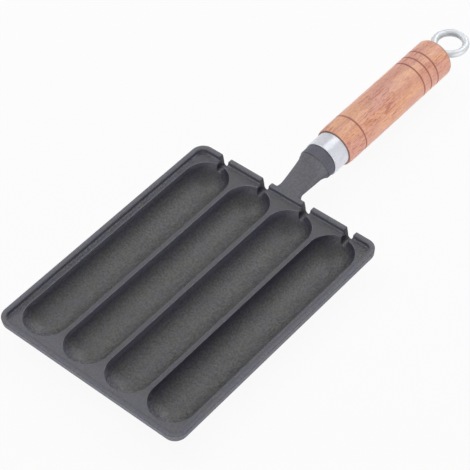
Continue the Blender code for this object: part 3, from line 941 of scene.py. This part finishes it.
def neck_loop(neck, plan, reach):
    """The neck's section at one distance behind the rim: root fillets, an even taper, then the flare."""
    along = reach / neck.neck_length
    fillet = 1.0 - math.sqrt(1.0 - max(1.0 - reach / neck.root_fillet, 0.0) ** 2)
    to_collar = neck.neck_length - reach
    flare = mix(ease(to_collar, neck.flare_length) * neck.flare_share, 1.0,
                ease(to_collar, neck.collar_step_length))
    round_end = neck.collar_radius - neck.collar_taper
    half_width = mix(neck.root_width, neck.end_width, along) / 2 + neck.root_spread * fillet
    top = plan.rim_z + neck.end_rise * along ** NECK_CURVE
    bottom = plan.rim_z - mix(neck.root_below, neck.end_below, along) - neck.root_drop * fillet
    loop = neck_section(
        plan.back_y + reach,
        mix(half_width, round_end, flare),
        mix(bottom, AXIS_Z - round_end, flare),
        mix(top, AXIS_Z + round_end, flare),
        mix(mix(ROOT_SECTION, END_SECTION, along), ROUND_SECTION, flare),
    )
    lean = neck.collar_lean * ease(to_collar, neck.lean_length)
    return [(x, y - lean * (z - AXIS_Z), z) for x, y, z in loop]


def neck_form(sizes, neck, plan):
    """The neck from inside the rim to the round collar."""
    loops = [neck_section(plan.back_y - sizes.rim_width / 2, neck.root_width / 2 + neck.root_spread,
                          plan.rim_z - neck.root_below - neck.root_drop, plan.rim_z - sizes.rim_rounding,
                          ROOT_SECTION)]
    for step in range(NECK_STATIONS + 1):
        share = (1 - math.cos(math.pi * step / NECK_STATIONS)) / 2
        loops.append(neck_loop(neck, plan, neck.neck_length * share))
    for inset, rise in arc(neck.collar_rounding):
        loops.append(round_section(PAN_HIGH.y - neck.collar_rounding + rise, neck.collar_radius - inset))
    return loft("neck", loops)


def bolt_hole(neck):
    """The tapped hole in the collar."""
    ends = (PAN_HIGH.y - neck.hole_depth, PAN_HIGH.y + CUT_MARGIN)
    return loft("bolt_hole", [round_section(y, neck.hole_radius) for y in ends])


class BuildCasting(bpy.types.Operator):
    """Builds the iron casting with its troughs, notches, neck and collar"""

    bl_idname = "grill_pan.build_casting"
    bl_label = "Pan casting"

    def execute(self, context):
        pan = context.scene.grill_pan
        sizes = pan.casting
        plan = CastingPlan(sizes)
        row = row_tree()
        spread = {"Count": sizes.trough_count, "Pitch": sizes.trough_pitch}
        body = plate(sizes, plan)
        skin = trough_skin(sizes, plan)
        for number in range(sizes.trough_count):
            single = object_from("skin", skin.data.copy())
            single.data.transform(Matrix.Translation(
                ((number - (sizes.trough_count - 1) / 2) * sizes.trough_pitch, 0.0, 0.0)))
            combine(body, single, "UNION")
        bpy.data.objects.remove(skin, do_unlink=True)
        combine(body, back_bar(sizes, plan), "UNION")
        combine(body, neck_form(sizes, pan.neck, plan), "UNION")
        for cutter in (trough_hollow(sizes, plan), notch(sizes, plan)):
            row.apply(cutter, spread)
            combine(body, cutter, "DIFFERENCE")
        combine(body, bolt_hole(pan.neck), "DIFFERENCE")
        finish_piece(body, cast_iron(pan.finish, sizes, pan.neck, plan), "pan", "pan_casting")
        return {"FINISHED"}


# Grip and ferrule

def turned(name, section):
    """A closed surface of revolution about the grip's axis from (place along the axis, radius) pairs."""
    loops = []
    for step in range(LATHE_STEPS):
        angle = 2 * math.pi * step / LATHE_STEPS
        across = math.cos(angle)
        up = math.sin(angle)
        loops.append([(radius * across, y, AXIS_Z + radius * up) for y, radius in section])
    return loft(name, loops, closed=True)


def rounded_face(front, back, radius, rounding):
    """(Place, radius) pairs of a turned face from front to back, with both its edges rounded."""
    opening = [(front + rounding - rise, radius - inset) for inset, rise in reversed(arc(rounding))]
    return opening + [(back - rounding + rise, radius - inset) for inset, rise in arc(rounding)]


def tube(name, front, back, bore, outer, rounding):
    """A tube about the grip's axis with its outer edges rounded."""
    return turned(name, [(back, bore), (front, bore), *rounded_face(front, back, outer, rounding)])


class BuildFerrule(bpy.types.Operator):
    """Builds the plated tube that binds the front of the grip"""

    bl_idname = "grill_pan.build_ferrule"
    bl_label = "Ferrule"

    def execute(self, context):
        pan = context.scene.grill_pan
        grip = pan.grip
        outer = FERRULE_HIGH.x
        ferrule = tube("grip_ferrule", FERRULE_LOW.y, FERRULE_HIGH.y, outer - grip.ferrule_wall, outer,
                       grip.ferrule_rounding)
        finish = zinc("ferrule_zinc", pan.finish.zinc, 0.28, BRUSHED_ALONG, 0.08)
        finish_piece(ferrule, finish, "pan", "ferrule")
        return {"FINISHED"}


class BuildGrip(bpy.types.Operator):
    """Builds the turned wooden grip with its grooves"""

    bl_idname = "grill_pan.build_grip"
    bl_label = "Wooden grip"

    def execute(self, context):
        pan = context.scene.grill_pan
        grip = pan.grip
        middle = GRIP_HIGH.x
        joint = FERRULE_HIGH.y + (WASHER_LOW.y - GRIP_HIGH.y)
        spigot = FERRULE_HIGH.x - grip.ferrule_wall - grip.spigot_clearance
        section = [(GRIP_HIGH.y, grip.bore_radius), (GRIP_LOW.y, grip.bore_radius), (GRIP_LOW.y, spigot),
                   (joint, spigot), (joint, grip.joint_radius - grip.chamfer)]
        shoulder = GRIP_HIGH.y - grip.end_rounding
        y = joint + grip.chamfer
        while y < shoulder:
            share = min((y - joint) / grip.swell_length, 1.0)
            section.append((y, mix(grip.joint_radius, middle, math.sin(share * math.pi / 2))))
            y += ROW_SPACING
        for inset, rise in arc(grip.end_rounding, steps=3 * EDGE_STEPS):
            section.append((shoulder + rise, middle - inset))
        wood = turned("turned_grip", section)
        first = joint + grip.front_groove
        last = GRIP_HIGH.y - grip.end_groove
        grooves = [first] + [last - grip.groove_spacing * number for number in range(grip.groove_count)]
        finish = turned_wood(pan.finish, grip, grooves)
        groove_tree().apply(wood, {
            "Axis Height": AXIS_Z, "Front Groove": first, "Last Groove": last, "Spacing": grip.groove_spacing,
            "Count": grip.groove_count, "Width": grip.groove_width, "Depth": grip.groove_depth,
            "Least Radius": spigot + grip.chamfer, "Material": finish})
        finish_piece(wood, finish, "pan", "wooden_grip", 40.0)
        return {"FINISHED"}


# Washer and eye bolt

class BuildWasher(bpy.types.Operator):
    """Builds the flat washer between the grip and the eye bolt"""

    bl_idname = "grill_pan.build_washer"
    bl_label = "Washer"

    def execute(self, context):
        pan = context.scene.grill_pan
        washer = tube("grip_washer", WASHER_LOW.y, WASHER_HIGH.y, pan.bolt.washer_bore, WASHER_HIGH.x,
                      pan.bolt.washer_rounding)
        finish = zinc("washer_zinc", pan.finish.bright_zinc, 0.32, NO_BRUSHING, 0.8)
        finish_piece(washer, finish, "washer", "end_washer")
        return {"FINISHED"}


class BuildEyeBolt(bpy.types.Operator):
    """Builds the hanging ring with its shoulder and long threaded rod"""

    bl_idname = "grill_pan.build_eye_bolt"
    bl_label = "Eye bolt"

    def execute(self, context):
        pan = context.scene.grill_pan
        bolt = pan.bolt
        centre_y = BOLT_HIGH.y - bolt.ring_radius - bolt.wire_radius
        back = centre_y - bolt.ring_radius - bolt.wire_radius
        front = back - bolt.shoulder_length
        lead = bolt.thread_radius - bolt.rod_radius
        tip = BOLT_LOW.y
        thread_end = tip + bolt.thread_length
        rows = [(tip, bolt.rod_radius - lead * 2), (tip + lead * 3, bolt.thread_radius),
                (thread_end, bolt.thread_radius), (thread_end + lead, bolt.rod_radius),
                (front, bolt.rod_radius)]
        rows += rounded_face(front, back, bolt.shoulder_radius, bolt.shoulder_rounding)
        rows.append((back + bolt.wire_radius, bolt.wire_radius))
        loops = [round_section(y, radius) for y, radius in rows]
        finish = zinc("ring_zinc", pan.finish.bright_zinc, 0.50, NO_BRUSHING, 0.30)
        ring = object_from("hanging_ring", bpy.data.meshes.new("hanging_ring"))
        ring_tree().apply(ring, {"Ring Radius": bolt.ring_radius, "Wire Radius": bolt.wire_radius,
                                 "Centre": (0.0, centre_y, AXIS_Z), "Material": finish})
        combine(ring, loft("rod", loops), "UNION")
        finish_piece(ring, finish, "eye_bolt", "eye_bolt")
        return {"FINISHED"}


# Stage

FLOOR_SIZE = 6.0
FLOOR_Z = -0.0001
IMAGE_SIZE = 470
FOCAL_PIXELS = 1837.713
SENSOR_WIDTH = 36.0
CAMERA_AZIMUTH = 43.92
CAMERA_ELEVATION = 47.965
CAMERA_ROLL = -4.329
CAMERA_PLACE = (0.60886, -0.68977, 0.99895)
WHITE = (1.0, 1.0, 1.0, 1.0)
PAPER = (0.86, 0.86, 0.86, 1.0)
WHITE_SHARE = 0.93
SKY_STRENGTH = 0.05
PANEL = (0.9, 0.9)
STRIP = (1.4, 0.18)
LAMP_TARGET = (0.0, -0.05, 0.0)


def seen_directly(graph):
    """1 where a surface is seen by the camera, in a reflection or through glass."""
    camera, glossy, through = [graph.node("ShaderNodeLightPath", {}, {}, f"Is {kind} Ray")
                               for kind in ("Camera", "Glossy", "Transmission")]
    return camera | glossy | through


def floor_finish():
    """White paper that keeps the object's soft shadow and reads as white to the camera."""
    made, shader, graph = new_material("paper_white")
    shader.inputs["Base Color"].default_value = PAPER
    shader.inputs["Roughness"].default_value = 0.9
    white = graph.node("ShaderNodeEmission", {}, {"Color": WHITE, "Strength": 1.0})
    paper = Value(graph, shader.outputs[0])
    share = seen_directly(graph) * WHITE_SHARE
    mixed = graph.node("ShaderNodeMixShader", {}, {0: share, 1: paper, 2: white})
    output = next(node for node in graph.tree.nodes if node.type == "OUTPUT_MATERIAL")
    graph.tree.links.new(mixed.socket, output.inputs["Surface"])
    return made


def build_world(strength):
    """A white sky: full white where it is seen, and a plain level where it lights."""
    world = bpy.data.worlds.new("white studio")
    world.use_nodes = True
    world.node_tree.nodes.clear()
    graph = Graph(world.node_tree)
    level = seen_directly(graph) * (1.0 - strength) + strength
    sky = graph.node("ShaderNodeBackground", {}, {"Color": WHITE, "Strength": level})
    graph.node("ShaderNodeOutputWorld", {}, {"Surface": sky})
    bpy.context.scene.world = world


def panel_light(name, place, size, watts):
    """A soft lamp, size wide and high, that looks at the middle of the pan."""
    lamp = bpy.data.lights.new(name, "AREA")
    lamp.shape = "RECTANGLE"
    lamp.size, lamp.size_y = size
    lamp.energy = watts
    made = bpy.data.objects.new(name, lamp)
    towards = Vector(LAMP_TARGET) - Vector(place)
    made.matrix_world = Matrix.Translation(place) @ towards.to_track_quat("-Z", "Y").to_matrix().to_4x4()
    bpy.context.scene.collection.objects.link(made)


def build_camera():
    """The camera at the photograph's angle."""
    turn = Matrix.Rotation(math.radians(CAMERA_AZIMUTH), 4, "Z")
    tilt = Matrix.Rotation(math.radians(90 - CAMERA_ELEVATION), 4, "X")
    roll = Matrix.Rotation(math.radians(CAMERA_ROLL), 4, "Z")
    lens = bpy.data.cameras.new("photo_camera")
    lens.sensor_width = SENSOR_WIDTH
    lens.lens = FOCAL_PIXELS * SENSOR_WIDTH / IMAGE_SIZE
    lens.clip_start = 0.05
    lens.clip_end = 20.0
    camera = bpy.data.objects.new("photo_camera", lens)
    camera.matrix_world = Matrix.Translation(CAMERA_PLACE) @ turn @ tilt @ roll
    bpy.context.scene.collection.objects.link(camera)
    bpy.context.scene.camera = camera


class BuildStage(bpy.types.Operator):
    """Builds the floor, the lights, the sky and the camera"""

    bl_idname = "grill_pan.build_stage"
    bl_label = "Stage"

    def execute(self, context):
        half = FLOOR_SIZE / 2
        corners = [(x, y, FLOOR_Z) for x, y in ((-half, -half), (half, -half), (half, half), (-half, half))]
        floor = object_from("floor", mesh_from("floor", corners, [(0, 1, 2, 3)]))
        floor.data.materials.append(floor_finish())
        build_world(SKY_STRENGTH)
        panel_light("left_panel", (-1.1, -0.1, 1.3), PANEL, 9.4)
        panel_light("left_low_panel", (-1.6, -0.1, 0.45), PANEL, 2.0)
        panel_light("back_panel", (0.0, 1.1, 1.3), PANEL, 8.5)
        panel_light("back_low_panel", (0.0, 1.5, 0.95), PANEL, 6.0)
        panel_light("right_strip", (1.5, -0.2, 0.11), STRIP, 11.8)
        panel_light("front_strip", (0.2, -1.8, 0.11), STRIP, 20.0)
        build_camera()
        context.scene.view_settings.view_transform = "Standard"
        return {"FINISHED"}


class GrillPanPanel(bpy.types.Panel):
    """Lists the pieces in the sidebar"""

    bl_idname = "VIEW3D_PT_grill_pan"
    bl_label = "Grill Pan"
    bl_space_type = "VIEW_3D"
    bl_region_type = "UI"
    bl_category = "Grill Pan"

    def draw(self, context):
        pan = context.scene.grill_pan
        for group in (pan.casting, pan.neck, pan.grip, pan.bolt, pan.finish):
            column = self.layout.box().column()
            for name in group.bl_rna.properties.keys():
                if name not in ("rna_type", "name"):
                    column.prop(group, name)
        for operator in OPERATORS:
            self.layout.operator(operator.bl_idname)


GROUPS = (CastingSizes, NeckSizes, GripSizes, BoltSizes, FinishColours, GrillPanSettings)
OPERATORS = (BuildCasting, BuildFerrule, BuildGrip, BuildWasher, BuildEyeBolt, BuildStage)
CLASSES = (*GROUPS, *OPERATORS, GrillPanPanel)


def register():
    """Adds the settings, the operators and the panel to Blender."""
    for made in CLASSES:
        bpy.utils.register_class(made)
    bpy.types.Scene.grill_pan = PointerProperty(type=GrillPanSettings)


def unregister():
    """Takes them out again."""
    del bpy.types.Scene.grill_pan
    for made in reversed(CLASSES):
        bpy.utils.unregister_class(made)


def main():
    """Builds everything in order."""
    register()
    bpy.ops.grill_pan.build_casting()
    bpy.ops.grill_pan.build_ferrule()
    bpy.ops.grill_pan.build_grip()
    bpy.ops.grill_pan.build_washer()
    bpy.ops.grill_pan.build_eye_bolt()
    bpy.ops.grill_pan.build_stage()


if __name__ == "__main__":
    main()
